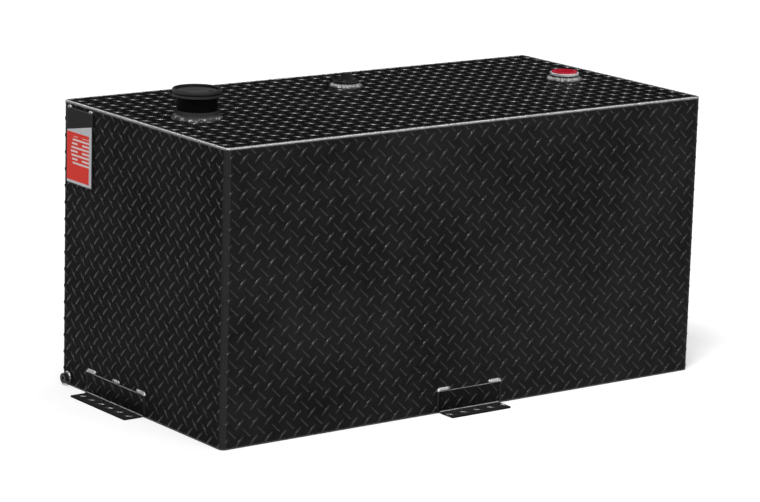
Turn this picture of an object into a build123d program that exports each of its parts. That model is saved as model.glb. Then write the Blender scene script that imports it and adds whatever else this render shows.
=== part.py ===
from build123d import *
import os

# Truck bed transfer tank: a welded tread plate box that stands on its base.
# Frame: origin at the centre of the base, +X along the length (to the right), +Y to the back, +Z up.
# All sizes are in millimetres.

# Tank shell
tank_length = 1232.0
tank_width = 609.6
tank_height = 609.6
sheet = 3.2
corner_radius = 11.0
lug_height = 1.5

# Seam welds along the top, the bottom and the back
seam_bulge = 0.8
seam_lap = 1.6
back_seam_width = 9.0
back_seam_height = 1.6
back_seam_end_gap = 3.0

# Baffles
compartments = 3
baffle_sheet = 3.2
baffle_flange = 32.0
baffle_bend_radius = 6.4
baffle_corner_crop = 62.0
baffle_hole_radius = 45.0
baffle_hole_pitch = 190.0

# Filler neck, on the centre line near the left end
port_inset = 131.0
neck_collar_radius = 43.5
neck_collar_height = 17.0
neck_spigot_radius = 38.5
neck_spigot_height = 28.5
neck_bore_radius = 35.0
neck_stub_depth = 8.0
neck_lead_in = 1.2
hole_clearance = 0.25
fillet_weld_leg = 9.5

# Filler cap: lid, threaded skirt, gasket and breather bush
cap_running_clearance = 0.4
cap_collar_gap = 0.5
skirt_wall = 3.6
skirt_into_lid = 2.0
gasket_thickness = 3.0
gasket_inner_radius = 35.2
lid_radius = 51.0
lid_lip_height = 4.7
lid_groove_height = 4.0
lid_groove_depth = 2.5
lid_rim_height = 6.3
lid_rim_width = 6.3
lid_rim_round = 2.6
lid_floor_thickness = 7.0
breather_offset_x = 22.2
breather_offset_y = -18.0
breather_hole_radius = 3.5
breather_passage_radius = 1.6
breather_flange_radius = 5.4
breather_flange_height = 0.8
breather_stub_length = 5.0

# Pump bung near the right end, closed by a shipping plug
pump_bung_radius = 31.8
pump_bung_height = 17.3
pump_bore_radius = 22.3
pump_bung_depth = 11.0
bung_shoulder = 3.2
bore_chamfer = 1.0
pump_plug_clearance = 0.3
pump_plug_flange_radius = 28.3
pump_plug_flange_height = 2.4
pump_plug_depth = 14.0
pump_plug_wall = 2.2
pump_plug_grip_width = 5.0
pump_plug_web = 2.0

# Spare bung behind the middle by a share of the width, closed by a square head pipe plug
spare_share = 0.25
spare_bung_radius = 28.0
spare_bung_height = 14.0
spare_bore_radius = 19.4
spare_bung_depth = 8.0
pipe_plug_clearance = 0.08
spare_plug_stand = 3.0
spare_plug_depth = 16.0
spare_head_across = 20.6
spare_head_height = 13.0
spare_head_turn = 36.0

# Drain bung, low on the left end near the back corner
drain_inset = 22.8
drain_height = 14.8
drain_bung_radius = 11.2
drain_bung_length = 12.0
drain_bore_radius = 7.2
drain_bung_depth = 6.0
drain_shoulder = 1.8
drain_weld_leg = 3.0
drain_plug_depth = 11.0
drain_plug_recess = 0.6
drain_socket_across = 7.9
drain_socket_depth = 6.0

# Folded tie-down brackets, one on each side, flush with the base
bracket_leg = 47.0
bracket_flange = 47.0
bracket_sheet = 3.2
bracket_bend_radius = 6.4
bracket_corner_round = 3.0
long_side_bracket = 155.0
long_side_bracket_offset = 4.0
end_bracket = 212.0
end_bracket_inset = 110.8
bracket_weld_width = 8.0
bracket_weld_out = 4.2
bracket_weld_run = 27.0
bracket_weld_round = 3.2

# Label plate at the top back corner of the left end, tack welded along its top edge
label_width = 100.0
label_height = 160.0
label_thickness = 3.0
label_corner_round = 3.0
label_inset = 20.8
label_top_gap = 10.5
label_margin = 2.0
sticker_thickness = 0.3
tack_width = 13.0
tack_height = 5.2
tack_inset = 9.0

# Derived places
wall_x = tank_length / 2
wall_y = tank_width / 2
inner_length = tank_length - 2 * sheet
inner_width = tank_width - 2 * sheet
inner_radius = corner_radius - sheet
baffle_pitch = tank_length / compartments
filler_x = -wall_x + port_inset
pump_x = wall_x - port_inset
spare_y = spare_share * tank_width
neck_top = tank_height + neck_collar_height + neck_spigot_height
skirt_inner_radius = neck_spigot_radius + cap_running_clearance
skirt_outer_radius = skirt_inner_radius + skirt_wall
skirt_bottom = tank_height + neck_collar_height + cap_collar_gap
lid_ceiling = neck_top + gasket_thickness
skirt_top = lid_ceiling
lid_bottom = skirt_top - skirt_into_lid
lid_floor = lid_ceiling + lid_floor_thickness
lid_top = lid_floor + lid_rim_height
drain_y = wall_y - drain_inset
end_bracket_y = wall_y - end_bracket_inset - end_bracket / 2
label_centre = wall_y - label_inset - label_width / 2


def rounded_block(length, width, radius, bottom, height):
    """An upright block with rounded vertical edges, standing at z = bottom."""
    return Pos(0, 0, bottom) * extrude(RectangleRounded(length, width, radius), height)


def turned(*points):
    """A solid of revolution about Z from a closed outline of (radius, height) points."""
    outline = make_face(Polyline(*[(r, 0, z) for r, z in points], close=True))
    return revolve(outline, Axis.Z)


def disc(radius, bottom, top):
    """An upright cylinder between two heights."""
    return Pos(0, 0, bottom) * extrude(Circle(radius), top - bottom)


def fillet_bead(radius, leg):
    """A ring weld in the corner between a round boss and the sheet, with a crowned face."""
    corner = (radius, 0, 0)
    foot = (radius + leg, 0, 0)
    crest = (radius, 0, leg)
    crown = (radius + 0.60 * leg, 0, 0.60 * leg)
    section = make_face(Line(corner, foot) + ThreePointArc(foot, crown, crest) + Line(crest, corner))
    return revolve(section, Axis.Z)


def make_side_wrap():
    """One sheet folded round four corners, with its ends butted at the back."""
    height = tank_height - 2 * sheet
    outside = rounded_block(tank_length, tank_width, corner_radius, sheet, height)
    inside = rounded_block(inner_length, inner_width, inner_radius, sheet, height)
    drain_hole = Pos(-wall_x, drain_y, drain_height) * Rot(0, 90, 0)
    drain_hole *= Cylinder(drain_bung_radius - drain_shoulder + hole_clearance, 4 * sheet)
    return outside - inside - drain_hole


def make_top_plate():
    """The lid sheet, with its three port holes."""
    plate = rounded_block(inner_length, inner_width, inner_radius, tank_height - sheet, sheet)
    ports = (
        (filler_x, 0, neck_spigot_radius),
        (pump_x, 0, pump_bung_radius - bung_shoulder),
        (0, spare_y, spare_bung_radius - bung_shoulder),
    )
    for x, y, radius in ports:
        plate -= Pos(x, y, 0) * disc(radius + hole_clearance, tank_height - 2 * sheet, tank_height + sheet)
    return plate


def make_bottom_plate():
    """The floor sheet."""
    return rounded_block(inner_length, inner_width, inner_radius, 0, sheet)


def make_top_seam():
    """The bead that fills the open corner between the wrap and the lid sheet, crowned outwards."""
    low = tank_height - sheet - seam_lap
    high = tank_height + seam_bulge
    lap = 2 * (sheet + seam_lap)
    size = (tank_length + 2 * seam_bulge, tank_width + 2 * seam_bulge, corner_radius + seam_bulge)
    bead = rounded_block(*size, low, high - low)
    crest = bead.faces().sort_by(Axis.Z)[-1].edges()
    bead = fillet(crest, seam_lap + seam_bulge)
    bead -= rounded_block(tank_length - lap, tank_width - lap, corner_radius - lap / 2, low, high - low)
    bead -= rounded_block(inner_length, inner_width, inner_radius, low, tank_height - low)
    return bead - make_side_wrap()


def make_bottom_seam():
    """The bead in the open corner between the wrap and the floor sheet, dressed flush all round."""
    bead = rounded_block(tank_length, tank_width, corner_radius, 0, sheet)
    return bead - rounded_block(inner_length, inner_width, inner_radius, 0, sheet)


def make_back_seam():
    """The upright bead that closes the wrap in the middle of the back, above the bracket."""
    low = bracket_leg + bracket_weld_width + back_seam_end_gap
    high = tank_height - sheet - seam_lap - back_seam_end_gap
    half = back_seam_width / 2
    arc = ThreePointArc((-half, 0), (0, back_seam_height), (half, 0))
    section = make_face(arc + Line((half, 0), (-half, 0)))
    return Pos(0, wall_y, low) * extrude(section, high - low)


def baffle_flange_strip(length):
    """A folded edge of a baffle: web, bend and flange, extruded along the edge (local Z)."""
    inner = baffle_bend_radius - baffle_sheet
    bend = baffle_bend_radius
    outer_arc = RadiusArc((0, bend), (bend, 0), -bend)
    inner_arc = RadiusArc((bend, baffle_sheet), (baffle_sheet, bend), inner)
    outline = outer_arc + Line((bend, 0), (baffle_flange, 0))
    outline += Line((baffle_flange, 0), (baffle_flange, baffle_sheet))
    outline += Line((baffle_flange, baffle_sheet), (bend, baffle_sheet))
    outline += inner_arc + Line((baffle_sheet, bend), (0, bend))
    return Pos(0, 0, -length / 2) * extrude(make_face(outline), length)


def make_baffle(centre_x, turn):
    """A surge baffle: one folded sheet with cropped corners, flow holes and four edge flanges."""
    height = tank_height - 2 * sheet
    half_w, half_h = inner_width / 2, height / 2
    bend, crop = baffle_bend_radius, baffle_corner_crop
    outline = [
        (-half_w + crop, -half_h + bend), (half_w - crop, -half_h + bend),
        (half_w - bend, -half_h + crop), (half_w - bend, half_h - crop),
        (half_w - crop, half_h - bend), (-half_w + crop, half_h - bend),
        (-half_w + bend, half_h - crop), (-half_w + bend, -half_h + crop),
    ]
    web = Plane.YZ * extrude(make_face(Polyline(*outline, close=True)), baffle_sheet)
    for y in (-baffle_hole_pitch / 2, baffle_hole_pitch / 2):
        for z in (-baffle_hole_pitch / 2, baffle_hole_pitch / 2):
            web -= Pos(0, y, z) * Rot(0, 90, 0) * Cylinder(baffle_hole_radius, 4 * baffle_sheet)
    side = baffle_flange_strip(height - 2 * crop)
    end = baffle_flange_strip(inner_width - 2 * crop)
    body = web
    edges = ((0, half_w, side), (90, half_h, end), (180, half_w, side), (270, half_h, end))
    for angle, reach, strip in edges:
        body += Rot(angle, 0, 0) * Pos(0, -reach, 0) * strip
    return Pos(centre_x, 0, tank_height / 2) * Rot(0, 0, turn) * body


def make_filler_neck():
    """A turned neck: a collar on the lid sheet, a spigot for the cap and a stub through the sheet."""
    top = neck_top - tank_height
    outline = (
        (neck_bore_radius, -neck_stub_depth), (neck_spigot_radius, -neck_stub_depth),
        (neck_spigot_radius, 0), (neck_collar_radius, 0),
        (neck_collar_radius, neck_collar_height), (neck_spigot_radius, neck_collar_height),
        (neck_spigot_radius, top - neck_lead_in), (neck_spigot_radius - neck_lead_in, top),
        (neck_bore_radius, top),
    )
    return Pos(filler_x, 0, tank_height) * turned(*outline)


def make_cap_lid():
    """The round lid of the cap: lip, groove, raised rim and sunk floor, with a seat for the skirt."""
    lip_top = lid_bottom + lid_lip_height
    groove_top = lip_top + lid_groove_height
    groove_radius = lid_radius - lid_groove_depth
    rim_inner = lid_radius - lid_rim_width
    outline = (
        (0, lid_ceiling), (skirt_outer_radius, lid_ceiling), (skirt_outer_radius, lid_bottom),
        (lid_radius, lid_bottom), (lid_radius, lip_top), (groove_radius, lip_top),
        (groove_radius, groove_top), (lid_radius, groove_top), (lid_radius, lid_top),
        (rim_inner, lid_top), (rim_inner, lid_floor), (0, lid_floor),
    )
    lid = turned(*outline)
    crest = lid.edges().filter_by(GeomType.CIRCLE).filter_by_position(Axis.Z, lid_top - 0.01, lid_top + 0.01)
    lid = fillet(crest, lid_rim_round)
    hole = disc(breather_hole_radius, lid_ceiling, lid_floor)
    return Pos(filler_x, 0, 0) * (lid - Pos(breather_offset_x, breather_offset_y, 0) * hole)


def make_cap_skirt():
    """The deep moulded ring that carries the cap's thread."""
    ring = disc(skirt_outer_radius, skirt_bottom, skirt_top)
    ring -= disc(skirt_inner_radius, skirt_bottom, skirt_top)
    return Pos(filler_x, 0, 0) * ring


def make_cap_gasket():
    """The flat ring that seals the cap on the neck's rim."""
    ring = disc(neck_spigot_radius, neck_top, lid_ceiling) - disc(gasket_inner_radius, neck_top, lid_ceiling)
    return Pos(filler_x, 0, 0) * ring


def make_breather_bush():
    """A small flanged bush in the lid, with the air passage that lets the tank breathe."""
    outline = (
        (breather_passage_radius, lid_ceiling - breather_stub_length),
        (breather_hole_radius - breather_flange_height, lid_ceiling - breather_stub_length),
        (breather_hole_radius - breather_flange_height, lid_ceiling),
        (breather_hole_radius, lid_ceiling), (breather_hole_radius, lid_floor),
        (breather_flange_radius, lid_floor), (breather_flange_radius, lid_floor + breather_flange_height),
        (breather_passage_radius, lid_floor + breather_flange_height),
    )
    return Pos(filler_x + breather_offset_x, breather_offset_y, 0) * turned(*outline)


def make_bung(radius, bore, height, depth, shoulder):
    """A weld-in threaded bung along Z: a boss above the sheet and a reduced stub through it."""
    outline = (
        (bore, -depth), (radius - shoulder, -depth), (radius - shoulder, 0), (radius, 0),
        (radius, height - bore_chamfer / 2), (radius - bore_chamfer / 2, height),
        (bore + bore_chamfer, height), (bore, height - bore_chamfer),
    )
    return turned(*outline)


def make_pump_plug():
    """A moulded shipping plug: a flanged cup with a raised finger grip across it."""
    stem_radius = pump_bore_radius - pump_plug_clearance
    flange = disc(pump_plug_flange_radius, 0, pump_plug_flange_height)
    stem = disc(stem_radius, -pump_plug_depth, 0)
    cup = disc(stem_radius - pump_plug_wall, pump_plug_web - pump_plug_depth, pump_plug_flange_height)
    grip_height = pump_plug_depth - pump_plug_web
    grip = Pos(0, 0, pump_plug_web - pump_plug_depth)
    grip *= extrude(Rectangle(2 * (stem_radius - pump_plug_wall), pump_plug_grip_width), grip_height)
    return flange + stem - cup + grip


def make_spare_plug():
    """A square head pipe plug."""
    body = disc(spare_bore_radius - pipe_plug_clearance, -spare_plug_depth, spare_plug_stand)
    head = Pos(0, 0, spare_plug_stand) * Rot(0, 0, spare_head_turn)
    head *= extrude(RectangleRounded(spare_head_across, spare_head_across, 2.0), spare_head_height, taper=2)
    return body + head


def make_drain_plug():
    """A flush pipe plug with a six-sided socket."""
    body = disc(drain_bore_radius - pipe_plug_clearance, -drain_plug_depth, 0)
    socket = Pos(0, 0, -drain_socket_depth)
    socket *= extrude(RegularPolygon(drain_socket_across / 2, 6, major_radius=False), drain_socket_depth)
    return body - socket


def make_bracket(length):
    """A folded angle: local Y runs out from the wall at y = 0, local X along it, Z up."""
    bend, inner = bracket_bend_radius, bracket_bend_radius - bracket_sheet
    outline = Line((0, bracket_leg), (0, bend)) + RadiusArc((0, bend), (bend, 0), -bend)
    outline += Line((bend, 0), (bracket_flange, 0))
    outline += Line((bracket_flange, 0), (bracket_flange, bracket_sheet))
    outline += Line((bracket_flange, bracket_sheet), (bend, bracket_sheet))
    outline += RadiusArc((bend, bracket_sheet), (bracket_sheet, bend), inner)
    outline += Line((bracket_sheet, bend), (bracket_sheet, bracket_leg))
    outline += Line((bracket_sheet, bracket_leg), (0, bracket_leg))
    angle = Pos(-length / 2, 0, 0) * (Plane.YZ * extrude(make_face(outline), length))
    tips = angle.edges().filter_by(Axis.Z)
    tips = tips.filter_by_position(Axis.Y, bracket_flange - 0.1, bracket_flange + 0.1)
    return fillet(tips, bracket_corner_round)


def make_bracket_welds(length, middle_bead):
    """Hooked beads up each end of a bracket's leg and over its corner, and one on the middle if asked for."""
    width, run = bracket_weld_width, bracket_weld_run
    foot = Pos(-width / 2, (bracket_bend_radius + bracket_leg) / 2)
    foot *= Rectangle(width, bracket_leg - bracket_bend_radius)
    head = Pos((run - width) / 2, bracket_leg + width / 2) * Rectangle(run + width, width)
    hook = foot + head
    hook = fillet(hook.vertices().filter_by(lambda v: v.X < 0.1 - width and v.Y > bracket_leg), width / 2)
    left = Pos(-length / 2, 0, 0) * crowned_bead(hook)
    beads = [left, mirror(left, Plane.YZ)]
    if middle_bead:
        beads.append(crowned_bead(Pos(0, bracket_leg + width / 2) * SlotOverall(run, width)))
    return Compound(beads)


def crowned_bead(outline):
    """A bead of a given outline on a wall, rounded along its outer edges."""
    bead = Rot(90, 0, 0) * extrude(outline, -bracket_weld_out)
    crest = bead.faces().sort_by(Axis.Y)[-1].edges()
    return fillet(crest, bracket_weld_round)


def on_side(side, along):
    """The place on a wall of the tank: its foot line is local X, and local Y runs outwards."""
    places = {
        "front": Pos(along, -wall_y, 0) * Rot(0, 0, 180),
        "back": Pos(along, wall_y, 0),
        "left": Pos(-wall_x, along, 0) * Rot(0, 0, 90),
        "right": Pos(wall_x, along, 0) * Rot(0, 0, -90),
    }
    return places[side]


def make_label_plate():
    """A flat plate that stands on the tread lugs at the top back corner of the left end."""
    return label_sheet(label_width, label_height, label_corner_round, lug_height, label_thickness)


def label_sheet(width, height, corner, stand_off, thickness):
    """A sheet parallel to the left end, centred on the label's place."""
    middle = tank_height - label_top_gap - label_height / 2
    place = Pos(-wall_x - stand_off, label_centre, middle) * Rot(0, -90, 0) * Rot(0, 0, 90)
    return place * extrude(RectangleRounded(width, height, corner), thickness)


def make_label_sticker():
    """The printed film on the label plate."""
    width = label_width - 2 * label_margin
    height = label_height - 2 * label_margin
    return label_sheet(width, height, label_corner_round, lug_height + label_thickness, sticker_thickness)


def make_label_tacks():
    """Two tack welds that join the plate's top edge to the wall."""
    out = lug_height + label_thickness
    arc = ThreePointArc((-tack_width / 2, 0), (0, tack_height), (tack_width / 2, 0))
    section = make_face(arc + Line((tack_width / 2, 0), (-tack_width / 2, 0)))
    tack = Rot(90, 0, 0) * extrude(section, -out)
    tack = fillet(tack.faces().sort_by(Axis.Y)[-1].edges().sort_by(Axis.Z)[-1], out * 0.6)
    tacks = []
    for shift in (-1, 1):
        along = label_centre + shift * (label_width / 2 - tack_inset)
        tacks.append(on_side("left", along) * Pos(0, 0, tank_height - label_top_gap) * tack)
    return Compound(tacks)


def on_top(x, y):
    """The place of a fitting on the lid sheet."""
    return Pos(x, y, tank_height)


def at_drain():
    """The drain's place: local Z runs out of the left end."""
    return Pos(-wall_x, drain_y, drain_height) * Rot(0, -90, 0)


def build_parts():
    """All pieces by node name."""
    parts = {
        "side_wrap": make_side_wrap(),
        "top_plate": make_top_plate(),
        "bottom_plate": make_bottom_plate(),
        "top_seam_weld": make_top_seam(),
        "bottom_seam_weld": make_bottom_seam(),
        "back_seam_weld": make_back_seam(),
        "left_baffle": make_baffle(-baffle_pitch / 2, 0),
        "right_baffle": make_baffle(baffle_pitch / 2, 180),
        "filler_neck": make_filler_neck(),
        "filler_neck_weld": on_top(filler_x, 0) * fillet_bead(neck_collar_radius, fillet_weld_leg),
        "cap_lid": make_cap_lid(),
        "cap_skirt": make_cap_skirt(),
        "cap_gasket": make_cap_gasket(),
        "breather_bush": make_breather_bush(),
        "pump_bung": on_top(pump_x, 0)
        * make_bung(pump_bung_radius, pump_bore_radius, pump_bung_height, pump_bung_depth, bung_shoulder),
        "pump_bung_weld": on_top(pump_x, 0) * fillet_bead(pump_bung_radius, fillet_weld_leg),
        "pump_port_plug": on_top(pump_x, 0) * Pos(0, 0, pump_bung_height) * make_pump_plug(),
        "spare_bung": on_top(0, spare_y)
        * make_bung(spare_bung_radius, spare_bore_radius, spare_bung_height, spare_bung_depth, bung_shoulder),
        "spare_bung_weld": on_top(0, spare_y) * fillet_bead(spare_bung_radius, fillet_weld_leg),
        "spare_port_plug": on_top(0, spare_y) * Pos(0, 0, spare_bung_height) * make_spare_plug(),
        "drain_bung": at_drain() * make_bung(
            drain_bung_radius, drain_bore_radius, drain_bung_length, drain_bung_depth, drain_shoulder),
        "drain_bung_weld": at_drain() * fillet_bead(drain_bung_radius, drain_weld_leg),
        "drain_plug": at_drain() * Pos(0, 0, drain_bung_length - drain_plug_recess) * make_drain_plug(),
        "label_plate": make_label_plate(),
        "label_sticker": make_label_sticker(),
        "label_tack_welds": make_label_tacks(),
    }
    for side in ("front", "back", "left", "right"):
        long_side = side in ("front", "back")
        length = long_side_bracket if long_side else end_bracket
        along = long_side_bracket_offset if long_side else end_bracket_y
        parts[side + "_bracket"] = on_side(side, along) * make_bracket(length)
        parts[side + "_bracket_welds"] = on_side(side, along) * make_bracket_welds(length, not long_side)
    return parts


os.makedirs("parts", exist_ok=True)
for node, shape in build_parts().items():
    export_step(shape, f"parts/{node}.step")
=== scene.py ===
import math
import random

import bmesh
import bpy
from mathutils import Matrix, Vector


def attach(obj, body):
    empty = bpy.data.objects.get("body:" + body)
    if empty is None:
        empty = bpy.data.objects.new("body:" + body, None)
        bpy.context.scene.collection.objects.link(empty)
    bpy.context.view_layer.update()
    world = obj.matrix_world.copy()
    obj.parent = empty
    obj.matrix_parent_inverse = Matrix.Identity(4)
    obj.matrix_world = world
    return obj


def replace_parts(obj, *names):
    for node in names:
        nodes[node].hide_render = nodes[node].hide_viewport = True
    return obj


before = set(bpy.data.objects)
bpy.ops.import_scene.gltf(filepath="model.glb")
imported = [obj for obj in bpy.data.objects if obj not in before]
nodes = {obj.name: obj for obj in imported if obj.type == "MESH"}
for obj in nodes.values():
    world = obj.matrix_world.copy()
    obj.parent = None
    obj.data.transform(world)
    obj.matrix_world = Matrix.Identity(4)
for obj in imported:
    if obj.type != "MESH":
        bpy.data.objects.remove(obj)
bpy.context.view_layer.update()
MM = 0.001
random.seed(7)


# Studio. The tank stands on a pale floor that runs past the view on every side. The camera stands about seven
# metres off, to the left of the front and above the lid, and is rolled by about a degree and a half. The key
# light stands high over the near corner, with a broad one in front and weaker ones round about.
scene = bpy.context.scene
scene.view_settings.view_transform = "Standard"

camera_place = (-4.1210, -5.4845, 1.8344)
camera_turn, camera_dip, camera_roll = -36.8571, 12.7964, 1.6248
camera_data = bpy.data.cameras.new("camera")
camera_data.sensor_width = 36.0
camera_data.lens = 155.4106
camera_data.clip_end = 300.0
camera = bpy.data.objects.new("camera", camera_data)
camera.matrix_world = (
    Matrix.Translation(camera_place)
    @ Matrix.Rotation(math.radians(camera_turn), 4, "Z")
    @ Matrix.Rotation(math.radians(90 - camera_dip), 4, "X")
    @ Matrix.Rotation(math.radians(camera_roll), 4, "Z")
)
scene.collection.objects.link(camera)
scene.camera = camera


def soft_light(name, towards, strength, spread):
    """A wide distant light: where it stands as seen from the tank, its strength and its angle in degrees."""
    data = bpy.data.lights.new(name, "SUN")
    data.energy = strength
    data.angle = math.radians(spread)
    light = bpy.data.objects.new(name, data)
    light.matrix_world = Vector(towards).to_track_quat("Z", "Y").to_matrix().to_4x4()
    scene.collection.objects.link(light)


soft_light("key_light", (-0.43, -0.25, 0.867), 1.8, 18)
soft_light("front_light", (0.05, -0.90, 0.43), 1.1, 55)
soft_light("overhead_light", (0.15, 0.20, 0.97), 0.5, 45)
soft_light("right_light", (0.585, -0.15, 0.80), 0.5, 20)
soft_light("rear_light", (-0.10, 0.78, 0.62), 0.4, 20)

world = bpy.data.worlds.new("studio")
scene.world = world
world.use_nodes = True
world.node_tree.nodes["Background"].inputs["Color"].default_value = (0.03, 0.03, 0.031, 1.0)


class Signal:
    """The output of a node in a finish, on which plain arithmetic can be written."""

    def __init__(self, finish, socket):
        self.finish = finish
        self.socket = socket

    def math(self, operation, *others):
        values = {0: self}
        values.update({place + 1: other for place, other in enumerate(others)})
        return self.finish.node("Math", {"operation": operation}, values)

    def __add__(self, other):
        return self.math("ADD", other)

    def __mul__(self, other):
        return self.math("MULTIPLY", other)

    def __sub__(self, other):
        return self.math("SUBTRACT", other)

    def __rsub__(self, other):
        return self.finish.node("Math", {"operation": "SUBTRACT"}, {0: other, 1: self})

    def __truediv__(self, other):
        return self.math("DIVIDE", other)

    def __gt__(self, other):
        return self.math("GREATER_THAN", other)

    def __lt__(self, other):
        return self.math("LESS_THAN", other)

    __radd__ = __add__
    __rmul__ = __mul__


class Finish:
    """A material with one Principled shader, and short ways to feed it."""

    def __init__(self, name, **sockets):
        self.material = bpy.data.materials.new(name)
        self.material.use_nodes = True
        self.tree = self.material.node_tree
        self.shader = self.tree.nodes["Principled BSDF"]
        self.place = Signal(self, self.tree.nodes.new("ShaderNodeTexCoord").outputs["Object"])
        self.surface = None
        for name, value in sockets.items():
            self.set(name.replace("_", " "), value)

    def feed(self, socket, value):
        if isinstance(value, Signal):
            self.tree.links.new(value.socket, socket)
        else:
            socket.default_value = value

    def set(self, name, value):
        self.feed(self.shader.inputs[name], value)

    def node(self, kind, settings=None, inputs=None, output=0):
        node = self.tree.nodes.new("ShaderNode" + kind)
        for name, value in (settings or {}).items():
            setattr(node, name, value)
        for name, value in (inputs or {}).items():
            self.feed(node.inputs[name], value)
        return Signal(self, node.outputs[output])

    def axis(self, letter):
        return self.node("SeparateXYZ", {}, {0: self.place}, letter)

    def facing_up(self):
        """How far the surface faces upwards: 1 on a level top, 0 on a wall."""
        return self.node("SeparateXYZ", {}, {0: self.node("NewGeometry", {}, {}, "Normal")}, "Z")

    def noise(self, scale, detail=2.0, roughness=0.5, where=None):
        sockets = {"Vector": where or self.place, "Scale": scale, "Detail": detail, "Roughness": roughness}
        return self.node("TexNoise", {}, sockets, "Fac")

    def ramp(self, signal, low, high, start=0.0, end=1.0):
        sockets = {0: signal, 1: low, 2: high, 3: start, 4: end}
        return self.node("MapRange", {"clamp": True}, sockets)

    def mix(self, mask, first, second):
        return self.node("Mix", {"data_type": "RGBA"}, {0: mask, 6: first, 7: second}, 2)

    def emboss(self, height, distance):
        """Adds a relief of a depth in metres to the surface, over any relief that it has."""
        sockets = {"Height": height, "Distance": distance, "Strength": 1.0}
        if self.surface:
            sockets["Normal"] = self.surface
        self.surface = self.node("Bump", {}, sockets)
        self.set("Normal", self.surface)

    def dress(self, *names):
        """Puts this finish on CAD nodes by name."""
        for name in names:
            slots = nodes[name].material_slots
            if not slots:
                nodes[name].data.materials.append(self.material)
            for slot in slots:
                slot.material = self.material


black = (0.0, 0.0, 0.0, 1.0)
paper_white = (0.80, 0.80, 0.80, 1.0)
paper_glow = (0.34, 0.34, 0.34, 1.0)
floor_reach = 120.0
floor_mesh = bpy.data.meshes.new("studio_floor")
shape = bmesh.new()
bmesh.ops.create_grid(shape, x_segments=1, y_segments=1, size=floor_reach)
shape.to_mesh(floor_mesh)
shape.free()
floor = bpy.data.objects.new("studio_floor", floor_mesh)
scene.collection.objects.link(floor)
paper = Finish("floor_paper", Base_Color=paper_white, Roughness=0.9, Specular_IOR_Level=0.0)
seen = [paper.node("LightPath", {}, {}, "Is %s Ray" % kind) for kind in ("Camera", "Glossy", "Transmission")]
seen = seen[0].math("MAXIMUM", seen[1]).math("MAXIMUM", seen[2])
paper.set("Emission Color", paper.mix(seen, black, paper_glow))
paper.set("Emission Strength", 1.0)
floor_mesh.materials.append(paper.material)


# Tread plate body: one sheet of 3.2 mm aluminium, folded round the four upright corners, with a floor sheet
# and a lid sheet welded in. Its outside has a black powder coat with a fine orange peel and a few duller
# patches, and its inside is bare mill aluminium. Its sizes are in millimetres.
half_length = 616.0
half_width = 304.8
height = 609.6
corner = 11.0
sheet = 3.2
# Painted light: a paler tone on the upright bends stands in for their sheen, and the two ends get painted
# shade.
bend_sheen_tone = (0.027, 0.027, 0.0273, 1.0)
mill_tone = (0.58, 0.58, 0.59, 1.0)
end_shade = 0.28


def coat_finish(name, colour, gloss, roughness, peel):
    """Black powder coat: a colour, a specular level, a roughness and its orange peel's depth in metres."""
    coat = Finish(name, Specular_IOR_Level=gloss)
    cloud = coat.noise(3.5, 3.0)
    grime = coat.noise(38.0, 4.0, 0.6)
    specks = coat.ramp(coat.noise(900.0, 1.0), 0.72, 0.80)
    dark = tuple(0.75 * part for part in colour) + (1.0,)
    light = tuple(1.55 * part for part in colour) + (1.0,)
    tone = coat.mix(coat.ramp(cloud * 0.6 + grime * 0.4, 0.35, 0.65), dark, light)
    coat.tone = coat.mix(specks * 0.25, tone, (0.05, 0.05, 0.05, 1.0))
    coat.shine = coat.ramp(grime * 0.5 + cloud * 0.5, 0.3, 0.7, roughness - 0.05, roughness + 0.09)
    coat.set("Base Color", coat.tone)
    coat.set("Roughness", coat.shine)
    coat.emboss(coat.noise(520.0, 2.0, 0.6), peel)
    return coat


def metal_finish(name, colour, roughness, grain_scale):
    """Bare aluminium with a grain along one direction, given as the scale of the noise on each axis."""
    metal = Finish(name, Metallic=1.0)
    stretched = metal.node("Mapping", {}, {"Vector": metal.place, "Scale": grain_scale})
    grain = metal.noise(1.0, 3.0, 0.6, stretched)
    cloud = metal.noise(12.0, 3.0)
    dark = tuple(0.72 * part for part in colour) + (1.0,)
    metal.set("Base Color", metal.mix(metal.ramp(grain * 0.5 + cloud * 0.5, 0.3, 0.7), dark, colour + (1.0,)))
    metal.set("Roughness", metal.ramp(grain, 0.3, 0.7, roughness - 0.07, roughness + 0.1))
    metal.emboss(grain, 0.00004)
    return metal


def coat_outside(coat):
    """Keeps the coat off the inside of the tank's sheets. It paints shade on the two ends of the tank, which
    makes them darker, and a painted sheen on the upright bends, which makes them paler."""
    east = (coat.axis("X").math("ABSOLUTE") - (half_length - corner) * MM).math("MAXIMUM", 0.0)
    north = (coat.axis("Y").math("ABSOLUTE") - (half_width - corner) * MM).math("MAXIMUM", 0.0)
    within = (east * east + north * north).math("SQRT") < (corner - sheet / 2) * MM
    low = coat.axis("Z") > sheet / 2 * MM
    high = coat.axis("Z") < (height - sheet / 2) * MM
    inside = within * low * high
    bend = (east > 0.0) * (north > 0.0)
    ends = east > (corner - 0.4) * MM
    # Painted shade darkens the two ends, and a painted sheen lightens the upright bends.
    tone = coat.mix(ends * end_shade, coat.tone, black)
    tone = coat.mix(bend, tone, bend_sheen_tone)
    coat.set("Base Color", coat.mix(inside, tone, mill_tone))
    coat.set("Metallic", inside)
    coat.set("Roughness", coat.shine + inside * 0.16)


body_coat = coat_finish("body_powder_coat", (0.0122, 0.0122, 0.0128), 0.008, 0.28, 0.00007)
coat_outside(body_coat)
body_coat.dress("side_wrap", "bottom_plate")
# The lid sheet gets a darker copy of the body's coat: painted shade on the top of the tank.
shaded_lid_sheet_coat = coat_finish("lid_sheet_shaded_powder_coat", (0.0042, 0.0042, 0.0044), 0.008, 0.28, 0.00007)
coat_outside(shaded_lid_sheet_coat)
shaded_lid_sheet_coat.dress("top_plate")


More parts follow.
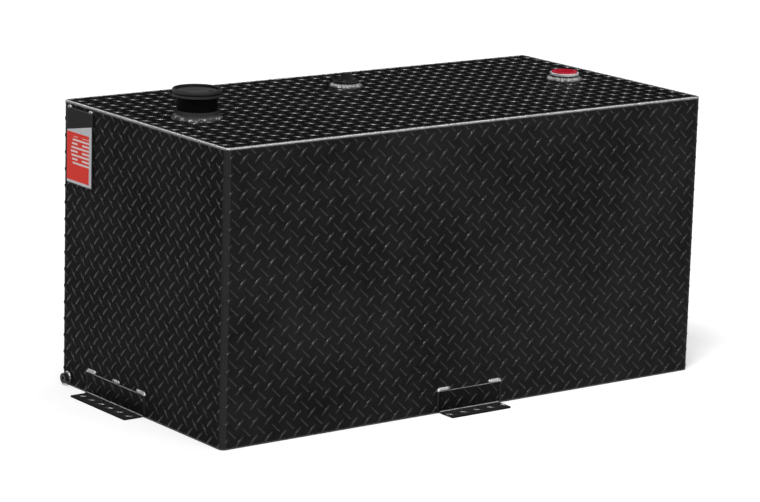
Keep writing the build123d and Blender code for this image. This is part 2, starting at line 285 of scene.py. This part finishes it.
# Tread: raised lugs rolled into the sheet in a brick pattern of alternate slants, about 36 mm apart. A lug is
# a ridge 29 mm long, 4.6 mm wide and 1.5 mm high, and takes more of a shine than the flats between. The rows
# run on to the upright corners, where the bend has rolled them down.
lug_half_length = 14.5
lug_half_width = 2.3
lug_height = 1.5
lug_rings = (
    (0.0, 0.0, 1.0), (0.383, 0.38, 0.94), (0.707, 0.635, 0.80), (0.924, 0.85, 0.33), (1.0, 1.0, 0.0))
lug_end_power, lug_side_power = 0.8, 6
row_pitch = height / 17
column_pitch = 2 * half_length / 35


def lug_finish(name, gloss, sharpest, dullest):
    """Powder coat on the lugs, rubbed lighter here and there: a specular level and a range of roughness."""
    lug = coat_finish(name, (0.0090, 0.0090, 0.0095), gloss, 0.26, 0.00003)
    rubbed = lug.ramp(lug.noise(21.0, 2.0), 0.45, 0.70)
    lug.set("Base Color", lug.mix(rubbed * 0.4, lug.tone, (0.022, 0.022, 0.023, 1.0)))
    lug.set("Roughness", lug.ramp(lug.noise(60.0, 2.0), 0.35, 0.65, sharpest, dullest))
    return lug


lug_coat = lug_finish("wall_lug_powder_coat", 0.25, 0.17, 0.38)
level_lug_coat = lug_finish("level_lug_powder_coat", 0.60, 0.20, 0.32)


def lay_lug(shape, x, y, slant):
    """One lug in the XY plane at a place in millimetres, turned by a slant in degrees: a ridge with a rounded
    crest, steep flanks and pointed ends. It is shaped from half a sphere: lug_rings holds the radius of each
    ring of the sphere, with the ring's reach and height on the lug, as shares of the lug's sizes. The two
    powers draw the outline of a ring: how bluntly it ends and how full its sides are."""
    lug = bmesh.new()
    bmesh.ops.create_uvsphere(lug, u_segments=12, v_segments=8, radius=1.0)
    everything = lug.verts[:] + lug.edges[:] + lug.faces[:]
    bmesh.ops.bisect_plane(
        lug, geom=everything, plane_co=(0, 0, 0), plane_no=(0, 0, 1), clear_inner=True, dist=1e-5)
    for vert in lug.verts:
        out = math.hypot(vert.co.x, vert.co.y)
        ring, reach, vert.co.z = min(lug_rings, key=lambda point: abs(point[0] - out))
        if ring:
            along = abs(vert.co.x / out)
            vert.co.x = math.copysign(reach * along ** lug_end_power, vert.co.x)
            vert.co.y = math.copysign(reach * (1 - along ** lug_side_power), vert.co.y)
    rim = [edge for edge in lug.edges if edge.is_boundary]
    bmesh.ops.holes_fill(lug, edges=rim, sides=0)
    for face in lug.faces:
        face.smooth = True
    for edge in rim:
        edge.smooth = False
    bmesh.ops.scale(lug, vec=Vector((lug_half_length, lug_half_width, lug_height)) * MM, verts=lug.verts[:])
    turn = Matrix.Translation((x * MM, y * MM, 0)) @ Matrix.Rotation(math.radians(slant), 4, "Z")
    bmesh.ops.transform(lug, matrix=turn, verts=lug.verts[:])
    blank = bpy.data.meshes.new("lug")
    lug.to_mesh(blank)
    lug.free()
    shape.from_mesh(blank)
    bpy.data.meshes.remove(blank)


def trim(shape, place, outwards):
    """Cuts off what stands past a plane and closes what it cut."""
    everything = shape.verts[:] + shape.edges[:] + shape.faces[:]
    cut = bmesh.ops.bisect_plane(
        shape, geom=everything, plane_co=place, plane_no=outwards, clear_outer=True, dist=1e-7)
    rim = [edge for edge in cut["geom_cut"] if isinstance(edge, bmesh.types.BMEdge) and edge.is_boundary]
    bmesh.ops.holes_fill(shape, edges=rim, sides=0)
    for edge in rim:
        edge.smooth = False


def lay_tread(rising, low, high, pitch, wanted=None):
    """A field of lugs between two corners in millimetres. rising is the place of one rising lug; the falling
    lugs stand half a pitch off. wanted says whether the lug at a place is kept."""
    shape = bmesh.new()
    start = [low[k] - pitch[k] + (rising[k] - low[k]) % pitch[k] for k in (0, 1)]
    lay_lug(shape, start[0], start[1], 45)
    lay_lug(shape, start[0] + pitch[0] / 2, start[1] + pitch[1] / 2, -45)
    size = len(shape.verts) // 2
    for k, way in ((0, Vector((1, 0, 0))), (1, Vector((0, 1, 0)))):
        block = shape.verts[:] + shape.edges[:] + shape.faces[:]
        for step in range(1, math.ceil((high[k] - low[k]) / pitch[k]) + 2):
            copied = bmesh.ops.duplicate(shape, geom=block)["geom"]
            verts = [item for item in copied if isinstance(item, bmesh.types.BMVert)]
            bmesh.ops.translate(shape, verts=verts, vec=way * (step * pitch[k] * MM))
    shape.verts.ensure_lookup_table()
    unwanted, overhang = [], 12
    for first in range(0, len(shape.verts), size):
        lug = shape.verts[first:first + size]
        x = sum(vert.co.x for vert in lug) / size / MM
        y = sum(vert.co.y for vert in lug) / size / MM
        near = all(low[k] - overhang < at < high[k] + overhang for k, at in ((0, x), (1, y)))
        if not near or wanted and not wanted(x, y):
            unwanted += lug
    bmesh.ops.delete(shape, geom=unwanted, context="VERTS")
    for k, way in ((0, Vector((1, 0, 0))), (1, Vector((0, 1, 0)))):
        trim(shape, way * (low[k] * MM), -way)
        trim(shape, way * (high[k] * MM), way)
    return shape


def finished(name, shape, finish, body):
    """Makes a piece from a bmesh, puts a finish on it and lets it ride on a body."""
    mesh = bpy.data.meshes.new(name)
    shape.to_mesh(mesh)
    shape.free()
    mesh.materials.append(finish.material)
    piece = bpy.data.objects.new(name, mesh)
    scene.collection.objects.link(piece)
    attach(piece, body)
    return piece


def fold_ends(shape, half):
    """Bends what reaches past the flat of a wall round its upright corners."""
    flat = (half - corner) * MM
    for vert in shape.verts:
        past = abs(vert.co.x) - flat
        if past > 0:
            angle = past / (corner * MM)
            reach = corner * MM + vert.co.z
            vert.co.x = math.copysign(flat + reach * math.sin(angle), vert.co.x)
            vert.co.z = reach * math.cos(angle) - corner * MM


def wall_place(side):
    """The outer face of a wall, from the middle of its foot: X to the right, Y into the tank and Z up."""
    turn, out = {
        "front": (0, half_width), "left": (-90, half_length),
        "back": (180, half_width), "right": (90, half_length),
    }[side]
    return Matrix.Rotation(math.radians(turn), 4, "Z") @ Matrix.Translation((0, -out * MM, 0))


upright = Matrix.Rotation(math.radians(90), 4, "X")
bracket_half = {"front": 77.5, "left": 106.0, "back": 77.5, "right": 106.0}
bracket_along = {"front": 4.0, "left": -88.0, "back": -4.0, "right": 88.0}
first_lug = {"front": 23.7, "left": 10.4, "back": 6.0, "right": 28.0}
lowest_row, foot_gap, top_gap = 12.3, 2.0, 4.4
behind_bracket, bracket_lap, rolled_share = 34, 16, 0.4
for side in ("front", "left", "back", "right"):
    long_wall = side in ("front", "back")
    half = half_length if long_wall else half_width
    pitch = column_pitch if long_wall else row_pitch
    reach = half - corner + corner * rolled_share
    along, hidden = bracket_along[side], bracket_half[side] - bracket_lap
    tread = lay_tread(
        (first_lug[side], lowest_row), (-reach, foot_gap), (reach, height - top_gap), (pitch, row_pitch),
        lambda x, z: not (z < behind_bracket and abs(x - along) < hidden))
    fold_ends(tread, half)
    tread.transform(wall_place(side) @ upright)
    finished("tread_" + side, tread, lug_coat, "tank")

filler, pump, spare = (-485.0, 0.0), (485.0, 0.0), (0.0, 152.4)
neck_radius, pump_bung_radius, spare_bung_radius = 43.5, 31.8, 28.0
bosses = ((filler, neck_radius), (pump, pump_bung_radius), (spare, spare_bung_radius))
boss_gap, edge_gap = 8.5, 4.2
lid_first_lug = (19.8, 1.1)
edge_x, edge_y = half_length - edge_gap, half_width - edge_gap
tread = lay_tread(
    lid_first_lug, (-edge_x, -edge_y), (edge_x, edge_y), (column_pitch, row_pitch),
    lambda x, y: all(math.hypot(x - at[0], y - at[1]) > radius + boss_gap for at, radius in bosses))
tread.transform(Matrix.Translation((0, 0, height * MM)))
finished("tread_lid", tread, level_lug_coat, "tank")


# Baffles: two folded sheets with return flanges and flow holes. They stand a third of the length apart inside
# the tank and are never coated.
mill_aluminium = metal_finish("mill_aluminium", (0.60, 0.60, 0.61), 0.38, (900.0, 40.0, 900.0))
mill_aluminium.dress("left_baffle", "right_baffle")


# Seam welds: the lid's bead runs round the open corner of the wrap, laid in short overlapping ripples, and an
# upright bead closes the wrap at the back. A light metal grey is painted on the upward-facing tops of the
# beads as a painted highlight, and they are as black as the sheet on their sides. The bottom seam is dressed
# flush.
def bead_finish(name):
    """Glossy powder coat over a weld bead."""
    bead = coat_finish(name, (0.014, 0.014, 0.0145), 0.3, 0.28, 0.00004)
    bead.set("Roughness", bead.ramp(bead.noise(240.0, 2.0), 0.3, 0.7, 0.26, 0.44))
    return bead


def painted_highlight_tops(bead, low, high):
    """How far a spot on a bead must face up for its painted highlight of metal grey to start and to end."""
    return bead.ramp(bead.facing_up() * 0.9 + bead.noise(90.0, 3.0) * 0.5, low, high)


def paint_highlight_grey(bead, where, coat_tone, metal, metallic):
    """Paints a partly metallic grey of a level into a bead's coat where a mask says: a painted highlight."""
    bead.set("Base Color", bead.mix(where, coat_tone, (metal, metal, metal, 1.0)))
    bead.set("Metallic", where * metallic)


# Edge and ring beads: painted highlights of metal grey on their upward-facing tops.
bead_coat = bead_finish("edge_bead_coat")
paint_highlight_grey(bead_coat, painted_highlight_tops(bead_coat, 0.10, 0.70), bead_coat.tone, 0.56, 0.75)
ring_bead_coat = bead_finish("ring_bead_coat")
paint_highlight_grey(ring_bead_coat, painted_highlight_tops(ring_bead_coat, 0.66, 1.06), ring_bead_coat.tone, 0.44, 0.75)
seam_coat = coat_finish("dressed_seam_coat", (0.020, 0.020, 0.021), 0.5, 0.34, 0.00005)
seam_coat.emboss(seam_coat.noise(190.0, 1.0), 0.0004)
seam_coat.dress("bottom_seam_weld")

round_bead = [(math.cos(turn * math.pi / 4), math.sin(turn * math.pi / 4)) for turn in range(8)]
flat_bead = [
    (-1.0, -0.15), (1.0, -0.15), (0.93, 0.35), (0.62, 0.80), (0.0, 1.05), (-0.62, 0.80), (-0.93, 0.35)]
corner_bead = [
    (-0.07, -0.07), (1.0, -0.07), (1.0, 0.0), (0.78, 0.34), (0.60, 0.60), (0.34, 0.78), (0.0, 1.0),
    (-0.07, 1.0)]


def lay_bead(shape, section, size, start, heading, up, legs, ripple=4.8):
    """A rippled bead. section holds (across, up) points round its root, times a size in millimetres. start is
    in metres. A leg is a straight length in metres, or a bend as (angle in degrees, centre, axis). A bead
    that doesn't come back to its start has rounded ends."""
    at, head, up = Vector(start), Vector(heading), Vector(up)
    across = head.cross(up)
    wave = ripple * MM
    step = wave / 3
    laid = 0.0
    spots, runs = [], []
    for leg in legs:
        run = bmesh.new()
        ring = [run.verts.new(at + (across * side + up * rise) * (size * MM)) for side, rise in section]
        live = ring + [run.edges.new((ring[k - 1], ring[k])) for k in range(len(ring))]
        if isinstance(leg, tuple):
            angle, centre, axis = math.radians(leg[0]), Vector(leg[1]), Vector(leg[2])
            arm = at - centre
            length = angle * arm.length
            bmesh.ops.spin(
                run, geom=live, cent=centre, axis=axis, dvec=(0, 0, 0), angle=angle,
                steps=max(3, round(length / step)), use_merge=leg[0] == 360)
            ahead, out = axis.cross(arm).normalized(), arm.normalized()
            for vert in run.verts:
                lean = vert.co - centre
                swing = math.atan2(lean.dot(ahead), lean.dot(out))
                if swing < -0.01:
                    swing += 2 * math.pi
                root = centre + Matrix.Rotation(swing, 3, axis) @ arm
                spots.append((vert, laid + swing * arm.length, root))
            turn = Matrix.Rotation(angle, 3, axis)
            at, head, across = centre + turn @ arm, turn @ head, turn @ across
        else:
            length = leg
            steps = max(2, round(length / step))
            bmesh.ops.spin(
                run, geom=live, cent=at, axis=(0, 0, 1), dvec=head * (length / steps), angle=0.0, steps=steps,
                use_merge=False)
            for vert in run.verts:
                along = (vert.co - at).dot(head)
                spots.append((vert, laid + along, at + head * along))
            at = at + head * length
        laid += length
        runs.append(run)
    joined = (at - Vector(start)).length < step
    hollow, crest, end_share, end_blunt = 0.90, 0.13, 0.9, 0.12
    swells = [random.uniform(0.93, 1.07) for count in range(int(laid / wave) + 3)]
    for vert, place, root in spots:
        ripples = place / wave
        swell = swells[int(ripples + 0.001)] * (hollow + crest * abs(math.sin(math.pi * ripples)))
        if not joined:
            end = max(0.0, min(place, laid - place)) / (end_share * size * MM)
            swell *= math.sqrt(min(1.0, end + end_blunt))
        vert.co = root + (vert.co - root) * swell
    for run in runs:
        blank = bpy.data.meshes.new("bead")
        run.to_mesh(blank)
        run.free()
        shape.from_mesh(blank)
        bpy.data.meshes.remove(blank)


def bead_piece(name, shape, node, finish=bead_coat):
    """Joins or closes the ends of the beads in a shape and puts them in place of a CAD bead."""
    bmesh.ops.remove_doubles(shape, verts=shape.verts[:], dist=0.00005)
    rim = [edge for edge in shape.edges if edge.is_boundary]
    if rim:
        bmesh.ops.holes_fill(shape, edges=rim, sides=0)
    bmesh.ops.recalc_face_normals(shape, faces=shape.faces[:])
    for face in shape.faces:
        face.smooth = True
    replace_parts(finished(name, shape, finish, "tank"), node)


top_bead = bmesh.new()
bead_radius, bead_inset = 4.0, 3.0
run_x, run_y = (half_length - corner) * MM, (half_width - corner) * MM
side_y, bead_z = (half_width - bead_inset) * MM, (height - bead_inset) * MM
lay_bead(top_bead, round_bead, bead_radius, (-run_x, -side_y, bead_z), (1, 0, 0), (0, 0, 1), [
    2 * run_x, (90, (run_x, -run_y, bead_z), (0, 0, 1)),
    2 * run_y, (90, (run_x, run_y, bead_z), (0, 0, 1)),
    2 * run_x, (90, (-run_x, run_y, bead_z), (0, 0, 1)),
    2 * run_y, (90, (-run_x, -run_y, bead_z), (0, 0, 1)),
])
bead_piece("top_seam_bead", top_bead, "top_seam_weld")

back_bead = bmesh.new()
back_face = half_width * MM
back_bead_size, back_bead_crown, back_bead_foot, back_bead_run = 4.5, 0.42, 0.060, 0.540
start = (0, back_face, back_bead_foot)
lay_bead(back_bead, flat_bead, back_bead_size, start, (0, 0, 1), (0, 1, 0), [back_bead_run])
for vert in back_bead.verts:
    vert.co.y = (vert.co.y - back_face) * back_bead_crown + back_face
bead_piece("back_seam_bead", back_bead, "back_seam_weld", ring_bead_coat)


def ring_bead(name, at, radius, leg, node, finish=ring_bead_coat):
    """The bead in the corner between a boss and the lid sheet."""
    shape = bmesh.new()
    centre = Vector((at[0] * MM, at[1] * MM, height * MM))
    start = centre + Vector((radius * MM, 0, 0))
    lay_bead(shape, corner_bead, leg, start, (0, 1, 0), (0, 0, 1), [(360, centre, (0, 0, 1))])
    bead_piece(name, shape, node, finish)


# Filler neck: a turned collar welded to the lid, with a threaded spigot above it for the cap. The thread is
# cut after coating, so it is a little brighter than the collar. Painted glints of pale metal grey dot the
# outer edge of the weld.
def round_axis(finish, at, letters="XYZ"):
    """A spot's place from an axis that stands at a place in millimetres, along the first two of the letters,
    and its distance from the axis."""
    east = finish.axis(letters[0]) - at[0] * MM
    north = finish.axis(letters[1]) - at[1] * MM
    return east, north, (east * east + north * north).math("SQRT")


def thread_on(finish, at, pitch, depth, radius_range, z_range, letters="XYZ"):
    """A screw thread round an axis, as a relief between two radii and two places along it in millimetres. The
    last of the letters is the axis."""
    east, north, radius = round_axis(finish, at, letters)
    up = finish.axis(letters[2])
    turns = up / (pitch * MM) + north.math("ARCTAN2", east) / (2 * math.pi)
    ridge = (turns.math("FRACT") - 0.5).math("ABSOLUTE") * 2.0
    there = (radius > radius_range[0] * MM) * (radius < radius_range[1] * MM)
    there = there * (up > z_range[0] * MM) * (up < z_range[1] * MM)
    finish.emboss(ridge * there, depth * MM)
    return there


ring_weld_leg, weld_edge = 9.5, 48.8
neck_bead_coat = bead_finish("neck_bead_coat")
# Painted glints: pale metal-grey spots along the outer edge of the weld.
outer_edge = round_axis(neck_bead_coat, filler)[2] > weld_edge * MM
spots = neck_bead_coat.ramp(neck_bead_coat.noise(105.0, 1.0), 0.52, 0.66) * outer_edge
paint_highlight_grey(neck_bead_coat, spots, (0.046, 0.046, 0.047, 1.0), 0.46, 0.25)
ring_bead("filler_neck_bead", filler, neck_radius, ring_weld_leg, "filler_neck_weld", neck_bead_coat)

cap_pitch = 2.8
neck_coat = coat_finish("neck_powder_coat", (0.040, 0.040, 0.041), 0.12, 0.40, 0.00006)
cut = thread_on(neck_coat, filler, cap_pitch, 0.9, (38.2, 38.8), (height + 18.5, height + 44.0))
neck_coat.set("Base Color", neck_coat.mix(cut, neck_coat.tone, (0.10, 0.10, 0.105, 1.0)))
neck_coat.dress("filler_neck")


# Filler cap: a round lid with a raised rim and a groove, on a deep moulded ring that screws down on a rubber
# gasket. A small bush in the lid lets the tank breathe. The lid is satin black and a little greyer than the
# ring, with painted shade on its rim, on the inner wall of its rim and in its groove.
rim_inner, rim_wall, groove_floor, groove_mouth = 45.4, 44.0, 47.0, 50.5
groove_low, groove_high, rim_low = (height + 51.1) * MM, (height + 55.3) * MM, (height + 56.2) * MM
rim_shade_tone = (0.004, 0.004, 0.004, 1.0)
groove_shade_tone = (0.003, 0.003, 0.003, 1.0)
lid_coat = coat_finish("lid_satin_coat", (0.044, 0.044, 0.045), 0.20, 0.46, 0.00006)
radius, up = round_axis(lid_coat, filler)[2], lid_coat.axis("Z")
groove = (radius > groove_floor * MM) * (radius < groove_mouth * MM) * (up > groove_low) * (up < groove_high)
shaded_inner_wall = (radius > rim_wall * MM) * (radius < rim_inner * MM) * (up > rim_low)
# Painted shade: darker on the rim, darker still on the rim's inner wall, and darkest in the groove.
shade = lid_coat.mix((radius > rim_inner * MM) * 0.45, lid_coat.tone, rim_shade_tone)
shade = lid_coat.mix(shaded_inner_wall * 0.85, shade, rim_shade_tone)
lid_coat.set("Base Color", lid_coat.mix(groove, shade, groove_shade_tone))
lid_coat.dress("cap_lid")

nylon = Finish("moulded_nylon", Specular_IOR_Level=0.03)
nylon.set("Base Color", nylon.mix(
    nylon.noise(30.0, 3.0), (0.0022, 0.0022, 0.0024, 1.0), (0.0045, 0.0045, 0.0048, 1.0)))
nylon.set("Roughness", nylon.ramp(nylon.noise(120.0, 2.0), 0.3, 0.7, 0.42, 0.58))
nylon.emboss(nylon.noise(1400.0, 2.0), 0.00003)
thread_on(nylon, filler, cap_pitch, 0.8, (38.0, 39.3), (height + 18.5, height + 44.5))
nylon.dress("cap_skirt", "breather_bush")

rubber = Finish("seal_rubber", Specular_IOR_Level=0.25)
rubber.set("Base Color", rubber.mix(
    rubber.noise(60.0, 3.0), (0.010, 0.010, 0.010, 1.0), (0.020, 0.020, 0.019, 1.0)))
rubber.set("Roughness", rubber.ramp(rubber.noise(260.0, 2.0), 0.3, 0.7, 0.6, 0.8))
rubber.emboss(rubber.noise(2200.0, 2.0), 0.00003)
rubber.dress("cap_gasket")


# Pump port: a turned aluminium bung. The coat was masked off its mouth, so the top face and the upper wall
# are bare, with fine turning marks. A red moulded shipping plug with a finger grip closes it.
ring_bead("pump_bung_bead", pump, pump_bung_radius, ring_weld_leg, "pump_bung_weld")
pump_pitch, mouth_radius = 2.2, 23.2
bare_from, bare_above = (height + 12.4) * MM, (height + 13.0) * MM
masked = coat_finish("masked_bung", (0.014, 0.014, 0.015), 0.30, 0.32, 0.00005)
radius = round_axis(masked, pump)[2]
ragged = masked.axis("Z") + masked.noise(160.0, 2.0) * 0.001
bare = masked.ramp(ragged, bare_from, bare_above).math("MAXIMUM", radius < mouth_radius * MM)
turning = (radius * 5200.0).math("SINE") * 0.5 + masked.noise(700.0, 2.0) * 0.5
bright = masked.mix(turning, (0.74, 0.74, 0.75, 1.0), (0.93, 0.93, 0.94, 1.0))
masked.set("Base Color", masked.mix(bare, masked.tone, bright))
masked.set("Metallic", bare * 0.40)
masked.set("Roughness", masked.ramp(bare, 0.0, 1.0, 0.34, 0.30))
masked.emboss(turning * bare, 0.00003)
thread_on(masked, pump, pump_pitch, 0.9, (21.8, 22.9), (height - 9.0, height + 15.8))
masked.dress("pump_bung")

red_plastic = Finish("red_shipping_plastic", Specular_IOR_Level=0.45)
red_plastic.set("Base Color", red_plastic.mix(
    red_plastic.noise(45.0, 3.0), (0.50, 0.008, 0.030, 1.0), (0.62, 0.016, 0.045, 1.0)))
red_plastic.set("Roughness", red_plastic.ramp(red_plastic.noise(200.0, 2.0), 0.3, 0.7, 0.30, 0.44))
red_plastic.emboss(red_plastic.noise(420.0, 2.0), 0.00005)
thread_on(red_plastic, pump, pump_pitch, 0.6, (21.5, 22.2), (height + 4.2, height + 16.8))
red_plastic.dress("pump_port_plug")


# Spare port: a lower bung behind the middle, coated all over, closed by a cast iron pipe plug with a square
# head. The drain, low on the left end, has the same finish, and its plug has a socket for a six-sided key.
ring_bead("spare_bung_bead", spare, spare_bung_radius, ring_weld_leg, "spare_bung_weld")
spare_pitch, drain_pitch = 2.2, 1.8
bung_coat = coat_finish("bung_powder_coat", (0.014, 0.014, 0.015), 0.25, 0.32, 0.00006)
thread_on(bung_coat, spare, spare_pitch, 0.9, (18.9, 20.0), (height - 6.0, height + 12.5))
bung_coat.dress("spare_bung", "drain_bung")

iron = coat_finish("cast_iron", (0.022, 0.022, 0.0225), 0.30, 0.40, 0.00012)
thread_on(iron, spare, spare_pitch, 0.9, (18.6, 19.6), (height - 1.5, height + 16.5))
iron.dress("spare_port_plug", "drain_plug")

drain = (282.0, 14.8)
drain_bung_radius, drain_weld_leg, drain_ripple = 11.2, 3.0, 3.2
bung_end, plug_end = -half_length - 11.0, -half_length - 1.0
thread_on(bung_coat, drain, drain_pitch, 0.7, (6.8, 7.6), (bung_end, -half_length + 5.0), "YZX")
thread_on(iron, drain, drain_pitch, 0.7, (6.8, 7.4), (bung_end, plug_end), "YZX")
drain_bead = bmesh.new()
hub = Vector((-half_length, drain[0], drain[1])) * MM
start = hub + Vector((0, 0, drain_bung_radius * MM))
lay_bead(
    drain_bead, corner_bead, drain_weld_leg, start, (0, 1, 0), (-1, 0, 0), [(360, hub, (-1, 0, 0))],
    drain_ripple)
bead_piece("drain_bung_bead", drain_bead, "drain_bung_weld")


# Tie-down brackets: a folded angle of the same tread plate at the foot of each wall, held by fillet beads
# that run up the ends of its leg and over its top corners. The two on the ends are longer, and have one more
# bead in the middle of the top. A pale grey is painted along the fold and along the leg's top edge as a
# painted highlight, the upward faces are painted a little lighter, and the bead tops get a painted highlight
# of metal grey.
leg_top, leg_bend = 47.0, 6.4
fold_from, fold_to, fold_top, edge_from, bead_top_from = 3.0, 4.9, 5.0, 46.6, 47.6
bracket_coat = coat_finish("bracket_powder_coat", (0.0095, 0.0095, 0.0100), 0.01, 0.28, 0.00007)
past_end = bracket_coat.axis("X").math("ABSOLUTE") - half_length * MM
past_side = bracket_coat.axis("Y").math("ABSOLUTE") - half_width * MM
out, up = past_end.math("MAXIMUM", past_side), bracket_coat.axis("Z")
fold = (out > fold_from * MM) * (out < fold_to * MM) * (up < fold_top * MM)
# Painted highlight: pale grey along the fold and along the leg's top edge, broken up by noise.
rubbed = fold.math("MAXIMUM", up > edge_from * MM)
rubbed = rubbed * bracket_coat.ramp(bracket_coat.noise(70.0, 2.0), 0.3, 0.6, 0.55, 1.0)
# Painted light: the upward faces are a little lighter.
painted_top_light = bracket_coat.mix(bracket_coat.facing_up() > 0.9, bracket_coat.tone, (0.022, 0.022, 0.022, 1.0))
bracket_coat.set("Base Color", bracket_coat.mix(rubbed, painted_top_light, (0.36, 0.36, 0.365, 1.0)))
bracket_coat.dress("front_bracket", "left_bracket", "back_bracket", "right_bracket")

bracket_bead_coat = bead_finish("bracket_bead_coat")
# Painted highlight: metal grey on the bead tops above the leg and on their upward-facing parts.
tops = bracket_bead_coat.axis("Z") > bead_top_from * MM
tops = tops * bracket_bead_coat.ramp(bracket_bead_coat.noise(55.0, 2.0), 0.25, 0.5)
metal = tops.math("MAXIMUM", painted_highlight_tops(bracket_bead_coat, 0.70, 1.20))
bracket_bead_coat.set("Base Color", bracket_bead_coat.mix(
    metal, (0.0100, 0.0100, 0.0105, 1.0), (0.60, 0.60, 0.605, 1.0)))
bracket_bead_coat.set("Metallic", tops * 0.6)
bracket_bead_coat.set("Specular IOR Level", 0.12)

bead_size, top_run = 4.0, 0.027
leg_lug, flange_lug_x, edge_row = (9.0, 20.0), 20.0, -40.0
tread_inner, tread_outer, end_margin = 8.0, 46.0, 1
for side in ("front", "left", "back", "right"):
    along, half = bracket_along[side], bracket_half[side]
    shift = Matrix.Translation((along * MM, 0, 0))
    tread_end = half - end_margin
    leg = lay_tread(leg_lug, (-tread_end, tread_inner), (tread_end, tread_outer), (row_pitch, row_pitch))
    leg.transform(wall_place(side) @ shift @ Matrix.Translation((0, -sheet * MM, 0)) @ upright)
    finished("tread_leg_" + side, leg, lug_coat, "tank")
    flange_row = -9.1 if side in ("front", "back") else -27.0
    flange = lay_tread(
        (flange_lug_x, flange_row), (-tread_end, -tread_outer), (tread_end, -tread_inner),
        (row_pitch, row_pitch), lambda x, y: y > edge_row)
    flange.transform(wall_place(side) @ shift @ Matrix.Translation((0, 0, sheet * MM)))
    finished("tread_flange_" + side, flange, level_lug_coat, "tank")
    weld = bmesh.new()
    for end in (-1, 1):
        side_x, top_z = end * half * MM, leg_top * MM
        start = (side_x + end * bead_size * MM, 0, leg_bend * MM)
        lay_bead(weld, flat_bead, bead_size, start, (0, 0, 1), (0, -1, 0), [
            top_z - leg_bend * MM, (90, (side_x, 0, top_z), (0, -end, 0)), top_run])
    if side in ("left", "right"):
        start = (-top_run / 2, 0, (leg_top + bead_size) * MM)
        lay_bead(weld, flat_bead, bead_size, start, (1, 0, 0), (0, -1, 0), [top_run])
    weld.transform(wall_place(side) @ shift)
    bead_piece(side + "_bracket_beads", weld, side + "_bracket_welds", bracket_bead_coat)


# Label plate: a flat coated plate that stands on the lugs at the top back corner of the left end, tack welded
# along its top. Its printed film has a dark grey head, a silver wedge and edge, and a red field with pale
# rules, some of them broken. Film sizes are in metres, and places on it are shares of them.
plate_coat = coat_finish("plate_powder_coat", (0.012, 0.012, 0.0125), 0.25, 0.32, 0.00005)
plate_coat.dress("label_plate")

film_edge_y, film_foot_z, film_width, film_height = 0.282, 0.4411, 0.096, 0.156
head_foot, head_slope = 0.706, 0.12
field_right, field_foot, field_top = 0.905, 0.035, 0.69
rule_rows, rule_foot, rule_top, rule_left, rule_slope, rule_middle = 19.0, 0.24, 0.64, 0.16, 0.5, 0.44
break_left, break_right = 0.44, 0.62
film = Finish("label_film", Specular_IOR_Level=0.05)
across = (film_edge_y - film.axis("Y")) / film_width
rise = (film.axis("Z") - film_foot_z) / film_height
head = rise > across * head_slope + head_foot
field = (across < field_right) * (rise > field_foot) * (rise < field_top)
rules = (rise * rule_rows).math("FRACT") < 0.50
rules = rules * (rise > rule_foot) * (rise < rule_top)
rules = rules * (across > rule_left + (rise - rule_middle).math("ABSOLUTE") * rule_slope)
every_other = (rise * (rule_rows / 2)).math("FRACT") < 0.5
rules = rules * (1.0 - every_other * (across > break_left) * (across < break_right))
scuff = film.noise(140.0, 4.0, 0.65)
silver = film.mix(scuff, (0.42, 0.43, 0.45, 1.0), (0.66, 0.67, 0.69, 1.0))
red_ink = film.mix(scuff, (0.66, 0.034, 0.022, 1.0), (0.80, 0.056, 0.040, 1.0))
black_ink = film.mix(scuff, (0.008, 0.008, 0.0085, 1.0), (0.016, 0.016, 0.0165, 1.0))
printed = film.mix(field, silver, film.mix(rules, red_ink, (0.72, 0.60, 0.59, 1.0)))
film.set("Base Color", film.mix(head, printed, black_ink))
film.set("Roughness", film.ramp(scuff, 0.3, 0.7, 0.36, 0.52))
film.emboss(film.noise(60.0, 2.0), 0.00010)
film.dress("label_sticker")

tack_middle, tack_offset, tack_run = 0.234, 0.041, 0.013
tack_radius, tack_out, tack_drop, tack_ripple = 4.4, 2.2, 10.3, 3.6
tacks = bmesh.new()
for y in (tack_middle - tack_offset, tack_middle + tack_offset):
    start = (-(half_length + tack_out) * MM, y - tack_run / 2, (height - tack_drop) * MM)
    lay_bead(tacks, round_bead, tack_radius, start, (0, 1, 0), (0, 0, 1), [tack_run], tack_ripple)
bead_piece("label_tack_beads", tacks, "label_tack_welds")
